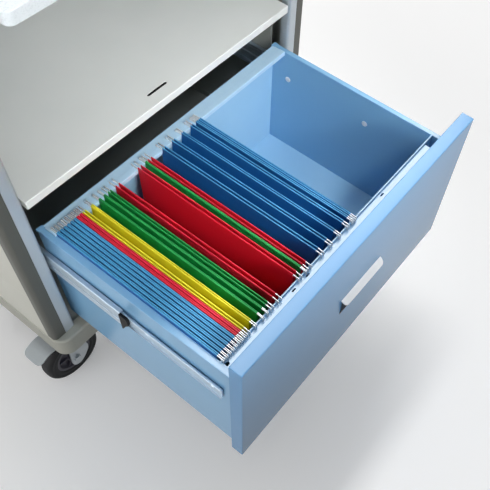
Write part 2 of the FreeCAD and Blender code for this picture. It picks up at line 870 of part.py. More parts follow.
corners = {"front_left": (-1, False), "front_right": (1, False),
           "rear_left": (-1, True), "rear_right": (1, True)}
save("caster_plates", [placed(caster_plate(), *corner) for corner in corners.values()])
for name, corner in corners.items():
    save("fork_" + name, [placed(solid, *corner) for solid in caster_fork()])
    save("tyre_" + name, [placed(caster_tyre(), *corner)])
    save("hub_" + name, [placed(caster_hub(), *corner)])
for name in ("front_left", "front_right"):
    save("pedal_" + name, [placed(brake_pedal(), *corners[name])])

save("files_left_blue", files(left_blue, blue_belly))
save("files_left_red", files(left_red + end_red, blue_belly))
save("files_left_yellow", files(left_yellow, yellow_belly))
save("files_left_green", files(left_green, green_belly))
save("rods_left", rods(left_blue + left_red + left_yellow + left_green + end_red))
save("files_middle", files(middle_red, green_belly) + files(middle_green, middle_green_belly))
save("rods_middle", rods(middle_red + middle_green))
save("files_right", files(right_blue, open_belly) + files(last_blue, blue_belly))
save("rods_right", rods(right_blue + last_blue))
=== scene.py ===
import json
import math
from collections import namedtuple

import bmesh
import bpy
from mathutils import Matrix, Vector


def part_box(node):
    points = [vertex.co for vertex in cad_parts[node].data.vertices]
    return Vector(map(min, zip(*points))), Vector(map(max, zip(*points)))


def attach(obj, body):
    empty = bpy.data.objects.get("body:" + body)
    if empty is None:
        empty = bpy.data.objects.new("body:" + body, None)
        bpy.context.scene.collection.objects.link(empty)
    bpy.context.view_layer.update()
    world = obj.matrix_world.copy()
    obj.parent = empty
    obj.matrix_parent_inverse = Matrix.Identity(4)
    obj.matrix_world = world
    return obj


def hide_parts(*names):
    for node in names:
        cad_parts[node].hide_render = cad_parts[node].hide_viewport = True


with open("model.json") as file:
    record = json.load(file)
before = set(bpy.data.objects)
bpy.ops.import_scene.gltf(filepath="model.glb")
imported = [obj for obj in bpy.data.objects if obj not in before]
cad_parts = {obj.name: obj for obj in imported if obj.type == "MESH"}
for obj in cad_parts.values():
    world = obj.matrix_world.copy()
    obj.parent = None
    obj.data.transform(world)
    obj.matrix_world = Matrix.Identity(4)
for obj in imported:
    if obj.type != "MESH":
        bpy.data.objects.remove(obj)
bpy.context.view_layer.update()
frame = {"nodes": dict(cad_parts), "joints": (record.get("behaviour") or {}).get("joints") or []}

# A medical chart rack: a cart on casters whose hanging-file drawer stands open. Shapes are drawn in
# millimetres with x = 0 on the middle of the cart, y = 0 on the front of the corner posts and z = 0 on
# the floor, and each is moved into the frame as it becomes an object.

MM = 0.001
post_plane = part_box("front_posts")[0].y

Span = namedtuple("Span", "x0 x1 y0 y1 z0 z1")


def span(node):
    low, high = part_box(node)
    return Span(low.x / MM, high.x / MM, (low.y - post_plane) / MM, (high.y - post_plane) / MM,
                low.z / MM, high.z / MM)


def joint_place(name):
    x, y, z = [joint["pos_m"] for joint in frame["joints"] if joint["name"] == name][0]
    return Vector((x / MM, (y - post_plane) / MM, z / MM))


# Mesh tools

AXES = {"x": Vector((1, 0, 0)), "y": Vector((0, 1, 0)), "z": Vector((0, 0, 1))}
STRAIGHT = 0.999
SHARP_EDGE = math.radians(30)
SMOOTH_SHADED = math.radians(40)
RIGHT_TO_LEFT = Matrix.Diagonal((-1, 1, 1, 1))


def across(axis, a, b, along):
    return {"x": (along, a, b), "y": (a, along, b), "z": (a, b, along)}[axis]


def runs(edge, axis):
    direction = (edge.verts[1].co - edge.verts[0].co).normalized()
    return abs(direction.dot(AXES[axis])) > STRAIGHT


def middle(edge):
    return (edge.verts[0].co + edge.verts[1].co) / 2


def creased(edge, angle=1.0):
    """Whether two faces meet at more than an angle, in radians."""
    return len(edge.link_faces) == 2 and edge.calc_face_angle(0) > angle


def moved(part, made, travel):
    """Moves what an extrusion made."""
    verts = [item for item in made["geom"] if isinstance(item, bmesh.types.BMVert)]
    bmesh.ops.translate(part, vec=travel, verts=verts)


def bevelled(part, geometry, radius, segments, affect="EDGES", clamp=False):
    bmesh.ops.bevel(part, geom=geometry, offset=radius, offset_type="OFFSET", segments=segments,
                    profile=0.5, affect=affect, material=-1, clamp_overlap=clamp)


def rounded(part, radius, segments, pick=None):
    """Rounds every edge of a part, or those that pick() takes."""
    edges = [edge for edge in part.edges if pick is None or pick(edge)]
    bevelled(part, edges, radius, segments, clamp=True)
    return part


def outward(part):
    bmesh.ops.recalc_face_normals(part, faces=part.faces)
    return part


def walled(part, edges, travel):
    """Draws edges out into walls."""
    moved(part, bmesh.ops.extrude_edge_only(part, edges=edges), travel)
    outward(part)


def made_of_sheet(part, thickness):
    """Gives a surface the thickness of its sheet."""
    bmesh.ops.solidify(part, geom=part.faces[:], thickness=thickness)
    return outward(part)


def thickened(part, travel):
    """Pulls a flat face into a solid."""
    moved(part, bmesh.ops.extrude_face_region(part, geom=part.faces[:]), travel)
    return outward(part)


def sunk(part, faces, drop):
    """Presses faces down into a part, with walls around them."""
    made = bmesh.ops.extrude_face_region(part, geom=faces)
    bmesh.ops.delete(part, geom=faces, context="FACES_ONLY")
    moved(part, made, (0, 0, drop))


def sides(box):
    return (box.x0, box.x1), (box.y0, box.y1), (box.z0, box.z1)


def rectangle(left, right, low, high):
    return [(left, low), (right, low), (right, high), (left, high)]


def block(x, y, z, radius=0.0, segments=2):
    """A box over three spans, with its edges rounded."""
    part = bmesh.new()
    bmesh.ops.create_cube(part, size=1.0)
    bmesh.ops.scale(part, vec=(x[1] - x[0], y[1] - y[0], z[1] - z[0]), verts=part.verts)
    bmesh.ops.translate(part, vec=(sum(x) / 2, sum(y) / 2, sum(z) / 2), verts=part.verts)
    return rounded(part, radius, segments) if radius else part


def wire(points, axis, at, radii=(), closed=True, segments=4):
    """A line through points in the plane across an axis, each corner rounded by its radius."""
    part = bmesh.new()
    verts = [part.verts.new(across(axis, a, b, at)) for a, b in points]
    for pair in zip(verts, verts[1:] + verts[:1] if closed else verts[1:]):
        part.edges.new(pair)
    for vert, radius in zip(verts, radii):
        if radius:
            bevelled(part, [vert], radius, segments, "VERTICES")
    return part


def prism(points, axis, low, high, radii=(), edge=0.0):
    """A solid with one closed outline, its two end faces softened by edge."""
    part = wire(points, axis, low, radii)
    bmesh.ops.edgeloop_fill(part, edges=part.edges[:])
    thickened(part, AXES[axis] * (high - low))
    if edge:
        rounded(part, edge, 2, lambda e: not runs(e, axis))
    return part


def strip(points, axis, low, high, thickness, radii):
    """Sheet bent along a path, with its thickness on the right-hand side of the path."""
    part = wire(points, axis, low, radii, closed=False)
    walled(part, part.edges[:], AXES[axis] * (high - low))
    start = Vector(across(axis, *points[0], low))
    first = min(part.verts, key=lambda vert: (vert.co - start).length).link_faces[0]
    ahead = Vector(points[1]) - Vector(points[0])
    left = Vector(across(axis, -ahead.y, ahead.x, 0))
    side = 1 if first.normal.dot(left) > 0 else -1
    return made_of_sheet(part, thickness * side)


def plate(outline, holes, axis, low, high):
    """A flat plate with holes, each an outline of its own."""
    part = joined([wire(points, axis, low) for points in [outline] + holes])
    bmesh.ops.triangle_fill(part, use_beauty=True, use_dissolve=False, edges=part.edges[:])
    return thickened(part, AXES[axis] * (high - low))


def pan(outline, hole, axis, face, depth, fold, thickness):
    """A sheet-metal pan: a face with one hole and four walls folded back from it."""
    part = joined([wire(outline, axis, face), wire(hole, axis, face)])
    rim = [edge for edge in part.edges if edge.index < len(outline)]
    bmesh.ops.triangle_fill(part, use_beauty=True, use_dissolve=False, edges=part.edges[:])
    walled(part, rim, AXES[axis] * depth)
    rounded(part, fold, 3, creased)
    return made_of_sheet(part, thickness)


def slot_outline(a, b, length, width, count=6):
    """A slot with round ends, lengthwise along the first direction."""
    radius = width / 2
    reach = length / 2 - radius
    ends = []
    for side, start in ((1, -math.pi / 2), (-1, math.pi / 2)):
        for i in range(count + 1):
            angle = start + math.pi * i / count
            ends.append((a + side * reach + radius * math.cos(angle), b + radius * math.sin(angle)))
    return ends


def turned(profile, centre, axis, radii=(), steps=40):
    """A closed profile of (radius, distance along the axis), turned about the axis."""
    part = wire(profile, "y", 0.0, radii, segments=3)
    bmesh.ops.spin(part, geom=part.verts[:] + part.edges[:], cent=(0, 0, 0), axis=(0, 0, 1),
                   dvec=(0, 0, 0), angle=2 * math.pi, steps=steps, use_merge=True)
    bmesh.ops.remove_doubles(part, verts=part.verts, dist=0.001)
    bmesh.ops.dissolve_degenerate(part, edges=part.edges, dist=0.0005)
    outward(part)
    turn = {"x": Matrix.Rotation(math.pi / 2, 3, "Y"), "y": Matrix.Rotation(-math.pi / 2, 3, "X"),
            "z": Matrix.Identity(3)}[axis]
    bmesh.ops.transform(part, matrix=turn.to_4x4(), verts=part.verts)
    bmesh.ops.translate(part, vec=centre, verts=part.verts)
    return part


def joined(parts):
    whole = bmesh.new()
    for part in parts:
        mesh = bpy.data.meshes.new("part")
        part.to_mesh(mesh)
        part.free()
        whole.from_mesh(mesh)
        bpy.data.meshes.remove(mesh)
    for elements in (whole.verts, whole.edges, whole.faces):
        elements.index_update()
    return whole


def copied(part, matrix):
    """A moved, turned or mirrored copy of a part."""
    copy = part.copy()
    bmesh.ops.transform(copy, matrix=matrix, verts=copy.verts)
    if matrix.determinant() < 0:
        bmesh.ops.reverse_faces(copy, faces=copy.faces)
    return copy


def across_middle(parts):
    """Parts drawn on the right, and the same parts on the left."""
    return [side for part in parts for side in (copied(part, RIGHT_TO_LEFT), part)]


def softened(node, radius):
    """A copy of a CAD node's shape, in millimetres, with its sharp edges rounded."""
    part = bmesh.new()
    part.from_mesh(frame["nodes"][node].data)
    bmesh.ops.translate(part, vec=(0, -post_plane, 0), verts=part.verts)
    bmesh.ops.scale(part, vec=(1 / MM, 1 / MM, 1 / MM), verts=part.verts)
    bmesh.ops.remove_doubles(part, verts=part.verts, dist=0.01)
    bmesh.ops.dissolve_limit(part, angle_limit=math.radians(1), verts=part.verts, edges=part.edges,
                             use_dissolve_boundaries=False)
    return rounded(part, radius, 2, lambda e: creased(e, SHARP_EDGE))


def placed(name, data):
    made = bpy.data.objects.new(name, data)
    bpy.context.scene.collection.objects.link(made)
    return made


def show(name, parts, material, body, nodes=()):
    """Makes one piece of the parts, rides it on its body and hides the CAD nodes it stands for."""
    shape = joined(parts)
    mesh = bpy.data.meshes.new(name)
    shape.to_mesh(mesh)
    shape.free()
    mesh.transform(Matrix.Translation((0, post_plane, 0)) @ Matrix.Scale(MM, 4))
    mesh.materials.append(material)
    mesh.shade_smooth()
    mesh.set_sharp_from_angle(angle=SMOOTH_SHADED)
    piece = placed(name, mesh)
    weighted = piece.modifiers.new("even_faces", "WEIGHTED_NORMAL")
    weighted.keep_sharp = True
    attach(piece, body)
    if nodes:
        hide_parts(*nodes)


# Material tools

def linear(code):
    """An sRGB hex colour as the linear colour that a shader takes."""
    channels = [int(code[i:i + 2], 16) / 255 for i in (1, 3, 5)]
    return [c / 12.92 if c <= 0.04045 else ((c + 0.055) / 1.055) ** 2.4 for c in channels] + [1.0]


def per_metre(millimetres):
    return 1000 / millimetres


def add(tree, kind, settings, links=()):
    """Adds a node, sets its properties and inputs, and links inputs to sockets."""
    made = tree.nodes.new("ShaderNode" + kind)
    for key, value in settings.items():
        if isinstance(key, int) or key in made.inputs:
            made.inputs[key].default_value = value
        else:
            setattr(made, key, value)
    for key, socket in dict(links).items():
        tree.links.new(socket, made.inputs[key])
    return made


def coated(name, colour, drift, grain, relief, gloss, drift_size=90.0, stretch=(1, 1, 1), constants=()):
    """A surface whose colour drifts a little over drift_size and whose grain is real relief, all in
    millimetres. gloss is the roughness in the grain's low and high spots."""
    made = bpy.data.materials.new(name)
    made.use_nodes = True
    tree = made.node_tree
    shader = tree.nodes["Principled BSDF"]
    place = add(tree, "TexCoord", {})
    stretched = add(tree, "Mapping", {"Scale": stretch}, {"Vector": place.outputs["Object"]})
    patches = add(tree, "TexNoise", {"Scale": per_metre(drift_size), "Detail": 3.0},
                  {"Vector": place.outputs["Object"]})
    grains = add(tree, "TexNoise", {"Scale": per_metre(grain), "Detail": 4.0},
                 {"Vector": stretched.outputs["Vector"]})
    tone = add(tree, "Mix", {"data_type": "RGBA", 6: linear(colour), 7: linear(drift)},
               {0: patches.outputs["Fac"]})
    shine = add(tree, "MapRange", {"To Min": gloss[0], "To Max": gloss[1]},
                {"Value": grains.outputs["Fac"]})
    bump = add(tree, "Bump", {"Distance": relief * MM}, {"Height": grains.outputs["Fac"]})
    tree.links.new(tone.outputs[2], shader.inputs["Base Color"])
    tree.links.new(shine.outputs["Result"], shader.inputs["Roughness"])
    tree.links.new(bump.outputs["Normal"], shader.inputs["Normal"])
    for key, value in dict(constants).items():
        shader.inputs[key].default_value = value
    return made


def hanging_sheet(name, face, fold, fold_top, fold_highlight_depth):
    """Embossed polypropylene sheet, painted paler along the fold over its rod: a painted highlight where the
    fold catches the light.
    """
    made = coated(name, face, face, 0.9, 0.05, (0.34, 0.5), constants={"IOR": 1.38})
    tree = made.node_tree
    shader = tree.nodes["Principled BSDF"]
    place = add(tree, "TexCoord", {})
    height = add(tree, "SeparateXYZ", {}, {"Vector": place.outputs["Object"]})
    # The paler fold colour over the top of the sheet is a painted highlight.
    reach = add(tree, "MapRange", {"From Min": (fold_top - fold_highlight_depth) * MM,
                                             "From Max": (fold_top - fold_highlight_depth / 3) * MM},
                {"Value": height.outputs["Z"]})
    streaks = add(tree, "TexNoise", {"Scale": per_metre(14.0), "Detail": 3.0},
                  {"Vector": place.outputs["Object"]})
    painted_fold_highlight = add(tree, "Mix", {"data_type": "RGBA", 6: linear(face), 7: linear(fold)},
               {0: reach.outputs["Result"]})
    worn = add(tree, "Mix", {"data_type": "RGBA", 7: linear(face)},
               {0: streaks.outputs["Fac"], 6: painted_fold_highlight.outputs[2]})
    light = add(tree, "Mix", {"data_type": "RGBA", 0: 0.18},
                {6: painted_fold_highlight.outputs[2], 7: worn.outputs[2]})
    tree.links.new(light.outputs[2], shader.inputs["Base Color"])
    return made


# Materials

# Semi-gloss blue powder coat: a fine orange peel that breaks up the softbox's reflection.
blue_coat = coated("blue_powder_coat", "#82B5DB", "#7DB1D8", 1.1, 0.008, (0.17, 0.23))
# The drawer front and its backplate have the same coat a shade deeper: painted shade, for the shade that
# falls on the front.
shaded_front_coat = coated("blue_front_powder_coat_painted_shade", "#5F97C6", "#5A92C2", 1.1, 0.008, (0.17, 0.23),
                    constants={"IOR": 1.36})
# The tray's floor and back have the same coat painted paler: painted light, for the light that falls into the
# tray.
lit_tray_coat = coated("blue_powder_coat_painted_light", "#A3CFEC", "#9AC8E8", 1.1, 0.008, (0.18, 0.24),
                      drift_size=60.0)
# The rails are coated in the same blue painted much paler: a painted sheen, for the light on their tops.
rail_coat_painted_sheen = coated("rail_powder_coat_painted_sheen", "#C0E0F6", "#B4D9F3", 1.1, 0.008, (0.18, 0.26), drift_size=12.0)
# White powder coat: near flat, with a soft orange peel.
white_coat = coated("white_powder_coat", "#EDEFEC", "#E4E8E5", 1.2, 0.02, (0.34, 0.44))
# Grey powder coat inside the cabinet: little light reaches it, so it shows only the folds.
dark_coat = coated("grey_powder_coat", "#9EA3A0", "#949996", 1.0, 0.03, (0.4, 0.52))
# Black powder coat on the frame: a dull, even dark behind the gaps.
black_coat = coated("black_powder_coat", "#2A2C2B", "#232524", 1.0, 0.03, (0.42, 0.55))
# Satin anodised aluminium extrusion: die lines run along the length.
anodised = coated("anodised_aluminium", "#C3CBD0", "#B8C1C7", 0.7, 0.006, (0.3, 0.42),
                  stretch=(1, 1, 0.02), constants={"Metallic": 0.35})
# Moulded ABS in taupe: a fine spark texture that scatters the light.
taupe_cover = coated("taupe_moulded_abs", "#565751", "#50514B", 0.8, 0.05, (0.42, 0.56))
# The side panels are moulded smoother and paler than the covers: soft, wide highlights.
taupe_panel = coated("pale_moulded_abs", "#C8C8BE", "#C0C0B6", 0.8, 0.03, (0.36, 0.48))
# The base has the covers' spark texture in a lighter taupe: matte, for it takes the knocks.
taupe_base = coated("base_moulded_abs", "#A3A399", "#99998F", 0.9, 0.05, (0.38, 0.52))
# Thermoformed worktop: harder and smoother, with a fine pebble.
worktop_abs = coated("thermoformed_worktop", "#DCDCD4", "#D5D5CD", 1.6, 0.05, (0.3, 0.42))
# High-pressure laminate: cool white with a faint hammered gloss.
laminate = coated("white_laminate", "#EEF4F8", "#E6EEF3", 2.2, 0.015, (0.24, 0.32))
# Milled acetal: a waxy mid grey.
runner_acetal = coated("runner_acetal", "#5A5D5C", "#515453", 0.7, 0.02, (0.32, 0.44))
# Zinc-plated steel, rolled: a milky bluish bloom that spreads its highlights into plain bands.
zinc = coated("zinc_plated_steel", "#C6D5E2", "#BDCDDB", 0.9, 0.0, (0.42, 0.44), drift_size=25.0,
              stretch=(1, 0.05, 1), constants={"Metallic": 0.9})
# Bright nickel-plated steel, on the rods and the screws in the tray.
bright_steel = coated("bright_plated_steel", "#F4F6F7", "#E9ECEE", 0.8, 0.002, (0.22, 0.34),
                      constants={"Metallic": 0.25})
# Polished bearing steel: a near mirror, seen as bright dots in the cages.
chrome_balls = coated("polished_bearing_steel", "#D8DBDE", "#CDD1D5", 1.4, 0.005, (0.08, 0.16),
                      drift_size=8.0, constants={"Metallic": 1.0})
# Barrel-plated steel: dappled, dull where the parts rubbed together.
caster_zinc = coated("barrel_plated_steel", "#B9BEC1", "#A9AFB3", 1.5, 0.03, (0.26, 0.44), drift_size=18.0,
                     constants={"Metallic": 1.0})
# Black nylon: matte, and the darkest thing on the cart.
bumper_nylon = coated("black_nylon", "#0B0C0E", "#090A0B", 0.8, 0.03, (0.5, 0.6), constants={"IOR": 1.3})
# The pull's moulded ABS: a dark satin cup under a smoother light hood.
cup_abs = coated("dark_moulded_abs", "#23282C", "#1E2327", 0.8, 0.03, (0.34, 0.48))
hood_abs = coated("light_moulded_abs", "#EDEFEF", "#E6E9E9", 0.7, 0.015, (0.24, 0.34))
# Glass-filled nylon: grey and dry, with the fibres just under the skin.
pedal_nylon = coated("grey_glass_filled_nylon", "#B0B7BA", "#A6ADB1", 0.9, 0.05, (0.4, 0.54))
# Non-marking rubber: matte, scuffed on the tread.
tread_rubber = coated("black_thermoplastic_rubber", "#101112", "#17181A", 2.0, 0.08, (0.5, 0.72),
                      drift_size=22.0, constants={"IOR": 1.35})
# Nylon hub: a purplish grey with a soft sheen.
hub_nylon = coated("purple_grey_nylon", "#3B3944", "#34323D", 0.9, 0.04, (0.36, 0.5))

# Places of the main CAD nodes

post = span("front_posts")
rear_post = span("rear_posts")
cover = span("corner_covers")
base = span("base_moulding")
pan_box = span("base_pan")
shelf = span("chart_shelf")
board = span("work_board")
top = span("worktop")
panel = span("side_panels")
back = span("back_panel")
front = span("drawer_front")
backplate = span("drawer_backplate")
cup = span("pull_cup")
hood = span("pull_hood")
shell = span("drawer_shell")
rear_ledge = span("rear_rail")
front_ledge = span("front_rail")
screws = span("wall_screws")

inner_half = pan_box.x1
outer_half = cover.x1
mirror_plane = (post.y0 + rear_post.y1) / 2
front_to_rear = Matrix.Translation((0, 2 * mirror_plane, 0)) @ Matrix.Diagonal((1, -1, 1, 1))

# Cabinet

post_step_x = 329.5
post_step = 3.0
nose_radius = 6.0
cover_radius = 9.0
cover_sheet = 3.0
post_edge = 0.5


def post_section():
    section = [(inner_half, post.y0), (post_step_x, post.y0), (post_step_x, post_step),
               (outer_half - cover_sheet, post_step), (outer_half - cover_sheet, post.y1),
               (inner_half, post.y1)]
    return prism(section, "z", post.z0, post.z1,
                 (nose_radius, post_edge, 0, cover_radius - cover_sheet, 0, post_edge))


def cover_section():
    section = [(post_step_x, post.y0), (outer_half, post.y0), (outer_half, post.y1),
               (outer_half - cover_sheet, post.y1), (outer_half - cover_sheet, post_step),
               (post_step_x, post_step)]
    return prism(section, "z", cover.z0, cover.z1,
                 (1.0, cover_radius, 0.6, 0, cover_radius - cover_sheet, 0))


front_post = post_section()
front_cover = cover_section()
for node, part in (("front_posts", front_post), ("rear_posts", copied(front_post, front_to_rear))):
    show(node + "_extruded", across_middle([part]), anodised, "cabinet", [node])
show("corner_covers_moulded", across_middle([front_cover, copied(front_cover, front_to_rear)]),
     taupe_cover, "cabinet", ["corner_covers"])

crease_low = 338.0
crease_high = 348.0
panel_bow = 9.0
panel_inner = back.x1
panel_cuts = 28


def bowed_panel():
    """The side panel: flat below a crease, bowed outwards above it."""
    section = [(panel_inner, panel.z0), (outer_half, panel.z0), (outer_half, crease_low),
               (outer_half, crease_high), (outer_half, panel.z1), (panel_inner, panel.z1)]
    part = prism(section, "y", post.y1, rear_post.y0, (0, 0, 0, 3.0, 0, 0))
    long_edges = [e for e in part.edges if runs(e, "y")]
    bmesh.ops.subdivide_edges(part, edges=long_edges, cuts=panel_cuts)
    half = (rear_post.y0 - post.y1) / 2
    for vert in part.verts:
        if vert.co.x > outer_half - 1 and vert.co.z > crease_low + 1:
            along = (vert.co.y - mirror_plane) / half
            vert.co.x += panel_bow * (1 - along ** 2)
    return part


show("side_panels_moulded", across_middle([bowed_panel()]), taupe_panel, "cabinet",
     ["side_panels"])

base_corner = 26.0
base_rim = 5.0
base_wall = 5.0
base_deck = 16.0


def deck_faces(part):
    return [f for f in part.faces if f.normal.z > STRAIGHT and f.calc_center_median().z > base.z1 - 1]


def base_shell():
    """The base moulding: open underneath, with a shallow recess for the pan on top."""
    part = block(*sides(base))
    rounded(part, base_corner, 8, lambda e: runs(e, "z"))
    rounded(part, base_rim, 5, lambda e: not runs(e, "z") and middle(e).z > base.z1 - 1)
    under = [face for face in part.faces if face.normal.z < -STRAIGHT]
    bmesh.ops.inset_region(part, faces=under, thickness=base_wall, use_even_offset=True)
    sunk(part, under, base.z1 - base_deck - base.z0)
    for axis, at in (("x", pan_box.x0), ("x", pan_box.x1), ("y", pan_box.y0), ("y", pan_box.y1)):
        deck = deck_faces(part)
        geometry = deck + list({e for f in deck for e in f.edges}) + list({v for f in deck for v in f.verts})
        bmesh.ops.bisect_plane(part, geom=geometry, dist=0.001, plane_co=AXES[axis] * at,
                               plane_no=AXES[axis])
    inner = [f for f in deck_faces(part) if abs(f.calc_center_median().x) < pan_box.x1
             and pan_box.y0 < f.calc_center_median().y < pan_box.y1]
    sunk(part, inner, pan_box.z0 - base.z1)
    return outward(part)


show("base_skirt", [base_shell()], taupe_base, "cabinet", ["base_moulding"])

base_pan_sheet = 1.2
base_pan_bend = 1.5


def base_tray():
    """The pan in the base: a floor with a front lip and two side flanges."""
    flange = [(pan_box.x0, pan_box.z1), (pan_box.x0, pan_box.z0), (pan_box.x1, pan_box.z0),
              (pan_box.x1, pan_box.z1)]
    lip = [(pan_box.y0, base.z1), (pan_box.y0, pan_box.z0), (post.y1, pan_box.z0)]
    floor = strip(flange[::-1], "y", post.y1, pan_box.y1, base_pan_sheet,
                  (0, base_pan_bend, base_pan_bend, 0))
    return [floor, strip(lip[::-1], "x", pan_box.x0, pan_box.x1, base_pan_sheet, (0, base_pan_bend, 0))]


show("base_pan_folded", base_tray(), dark_coat, "cabinet", ["base_pan"])

worktop_corner = 30.0
worktop_top_edge = 3.0
worktop_under_edge = 1.5
slab = block(*sides(top))
rounded(slab, worktop_corner, 10, lambda e: runs(e, "z"))
rounded(slab, worktop_top_edge, 4, lambda e: not runs(e, "z") and middle(e).z > top.z1 - 1)
rounded(slab, worktop_under_edge, 2, lambda e: not runs(e, "z") and middle(e).z < top.z0 + 0.1)
show("worktop_thermoformed", [slab], worktop_abs, "cabinet", ["worktop"])

board_corner = 9.0
board_edge = 1.2
slab = block(*sides(board))
rounded(slab, board_corner, 6, lambda e: runs(e, "z") and middle(e).y < 0)
rounded(slab, board_edge, 3, lambda e: not runs(e, "z"))
show("work_board_laminated", [slab], laminate, "board", ["work_board"])

shelf_lip = shelf.z1 - shelf.z0
shelf_sheet = 1.2
shelf_fold = 1.8
shelf_slot_x = -13.0
shelf_slot_y = 26.0
shelf_slot_length = 44.0
shelf_slot_width = 5.6
slot_shade_half_length = 24.0
slot_shade_half_width = 5.0
slot_shade_top = 1.4
slot_shade_thickness = 2.0
show("chart_shelf_folded",
     [pan(rectangle(shelf.x0, shelf.x1, shelf.y0, shelf.y1),
          slot_outline(shelf_slot_x, shelf_slot_y, shelf_slot_length, shelf_slot_width), "z", shelf.z1,
          -shelf_lip, shelf_fold, shelf_sheet)],
     white_coat, "cabinet", ["chart_shelf"])
# A black block under the shelf's slot: painted shade, so that the slot reads dark.
show("chart_shelf_slot_painted_shade",
     [block((shelf_slot_x - slot_shade_half_length, shelf_slot_x + slot_shade_half_length),
            (shelf_slot_y - slot_shade_half_width, shelf_slot_y + slot_shade_half_width),
            (shelf.z1 - slot_shade_top - slot_shade_thickness, shelf.z1 - slot_shade_top), 0.4)],
     bumper_nylon, "cabinet")

for node, radius, material, slot in (("caster_beams", 1.0, black_coat, "frame_steel"),
                                     ("top_frame", 0.8, black_coat, "frame_steel"),
                                     ("shelf_brackets", 0.8, black_coat, "frame_steel"),
                                     ("board_runners", 0.6, runner_acetal, "runner_plastic"),
                                     ("side_liners", 0.4, dark_coat, "inner_paint"),
                                     ("back_panel", 0.4, dark_coat, "inner_paint")):
    show(node + "_finished", [softened(node, radius)], material, "cabinet", [node])


def button_head(centre, axis, sign, radius, height, socket):
    """A low round screw head with a round recess for the driver."""
    profile = [(0.0, height * 0.45), (socket, height * 0.45), (socket, height), (radius * 0.7, height),
               (radius, height * 0.3), (radius, 0.0), (0.0, 0.0)]
    return turned([(r, h * sign) for r, h in profile], centre, axis, (0, 0, 0, radius * 0.2, 0.2, 0, 0), 20)


back_screw_gaps = 3
back_screw_end = 30
back_screw_inset = 10
driver_recess = 1.6
back_screws = []
for i in range(back_screw_gaps + 1):
    z = back.z0 + back_screw_end + (back.z1 - back.z0 - 2 * back_screw_end) * i / back_screw_gaps
    back_screws.append(button_head((back.x1 - back_screw_inset, back.y1, z), "y", 1, 4.5, 2.0, driver_recess))
show("back_panel_screws", across_middle(back_screws), zinc, "cabinet")

# Drawer

front_fold = 1.5
sheet = 1.2

show("drawer_front_pan",
     [pan(rectangle(front.x0, front.x1, front.z0, front.z1),
          rectangle(-cup.x1, cup.x1, cup.z0, cup.z1), "y", front.y0, front.y1 - front.y0, front_fold,
          sheet)],
     shaded_front_coat, "drawer", ["drawer_front"])
show("drawer_front_backplate",
     [block((front.x0, front.x1), (backplate.y0, backplate.y1), (front.z0, front.z1), 0.35)],
     shaded_front_coat, "drawer", ["drawer_backplate"])

cup_depth = 12.6
cup_corner = 3.0
cup_wall = 1.5


def cup_pocket():
    """The pocket behind the pull, its corners rounded, and the two cheeks that carry the hood."""
    part = block((cup.x0, cup.x1), (front.y0, front.y0 + cup_depth), (cup.z0, cup.z1))
    bmesh.ops.delete(part, geom=[f for f in part.faces if f.normal.y < -STRAIGHT], context="FACES")
    rounded(part, cup_corner, 4, lambda e: len(e.link_faces) == 2)
    made_of_sheet(part, cup_wall)
    cheek = prism([(front.y0, cup.z1 - 4), (hood.y0 + 4, cup.z1 - 9.5), (front.y0, cup.z0)], "x",
                  cup.x1 - cup_wall, cup.x1, edge=0.3)
    return [part] + across_middle([cheek])


show("pull_cup_moulded", cup_pocket(), cup_abs, "drawer", ["pull_cup"])

hood_sheet = 3.5
hood_corner = 8.0
hood_edge = 1.3


def hood_lip():
    """The hood over the pull: a thin lip with round ends that slopes down to the hand."""
    part = block((hood.x0, hood.x1), (hood.y0, hood.y1), (hood.z1 - hood_sheet, hood.z1))
    rounded(part, hood_corner, 8, lambda e: runs(e, "z") and middle(e).y < hood.y0 + 1)
    rounded(part, hood_edge, 3, lambda e: not runs(e, "z") and middle(e).y < hood.y1 - 0.1)
    slope = (hood.z1 - hood.z0 - hood_sheet) / (hood.y1 - hood.y0)
    for vert in part.verts:
        vert.co.z -= (hood.y1 - vert.co.y) * slope
    return part


show("pull_hood_moulded", [hood_lip()], hood_abs, "drawer", ["pull_hood"])

wall_half = rear_ledge.x1
rim_fold = 1.3
floor_top = 230.0
back_sheet = 1.7


def tray_walls():
    """Bottom and double side walls folded from one sheet, with a flat rim along each side."""
    section = [(-wall_half, floor_top), (-wall_half, shell.z1), (shell.x0, shell.z1), (shell.x0, shell.z0),
               (shell.x1, shell.z0), (shell.x1, shell.z1), (wall_half, shell.z1), (wall_half, floor_top)]
    radii = (0, rim_fold, rim_fold, 2.0, 2.0, rim_fold, rim_fold, 0)
    walls = strip(section[::-1], "y", shell.y0, shell.y1 - back_sheet, sheet, radii[::-1])
    floor = block((-wall_half, wall_half), (shell.y0, shell.y1 - back_sheet), (floor_top - 1.0, floor_top))
    rear = block((shell.x0, shell.x1), (shell.y1 - back_sheet, shell.y1), (shell.z0, shell.z1), 0.5)
    return [walls], [floor, rear]


rim_hem_outer = 1.0
rim_hem_inner = 1.9
rim_hem_depth = 3.0
rim_hem_end = -12.0
walls, floor_and_back = tray_walls()
# The rim's end at each rear corner, folded over the back wall
corner_tab = block((wall_half - 1.5, shell.x1 + 0.6), (shell.y1 - 6, shell.y1 + 2.9),
                   (shell.z1 - 5, shell.z1 + 0.25), 0.5)
rim_hem = block((-wall_half - rim_hem_outer, -wall_half + rim_hem_inner), (shell.y0, rim_hem_end),
                (shell.z1 - rim_hem_depth, shell.z1), 0.4)
show("drawer_tray_folded", walls + across_middle([corner_tab]) + [rim_hem], blue_coat, "drawer",
     ["drawer_shell", "drawer_liner"])
show("drawer_tray_floor", floor_and_back, lit_tray_coat, "drawer")

rail_sheet = 1.5
rear_band_top = rear_ledge.z1
rear_hem_depth = 9.0
rear_profile = [(rear_ledge.y0, rear_band_top - rear_hem_depth), (rear_ledge.y0, rear_band_top),
                (0.0, rear_band_top), (0.0, shell.z1), (rear_ledge.y1, shell.z1)]
show("rear_rail_folded",
     [strip(rear_profile, "x", -wall_half, wall_half, rail_sheet, (0, 1.0, 0.3, 0.3, 0))],
     rail_coat_painted_sheen, "drawer", ["rear_rail"])

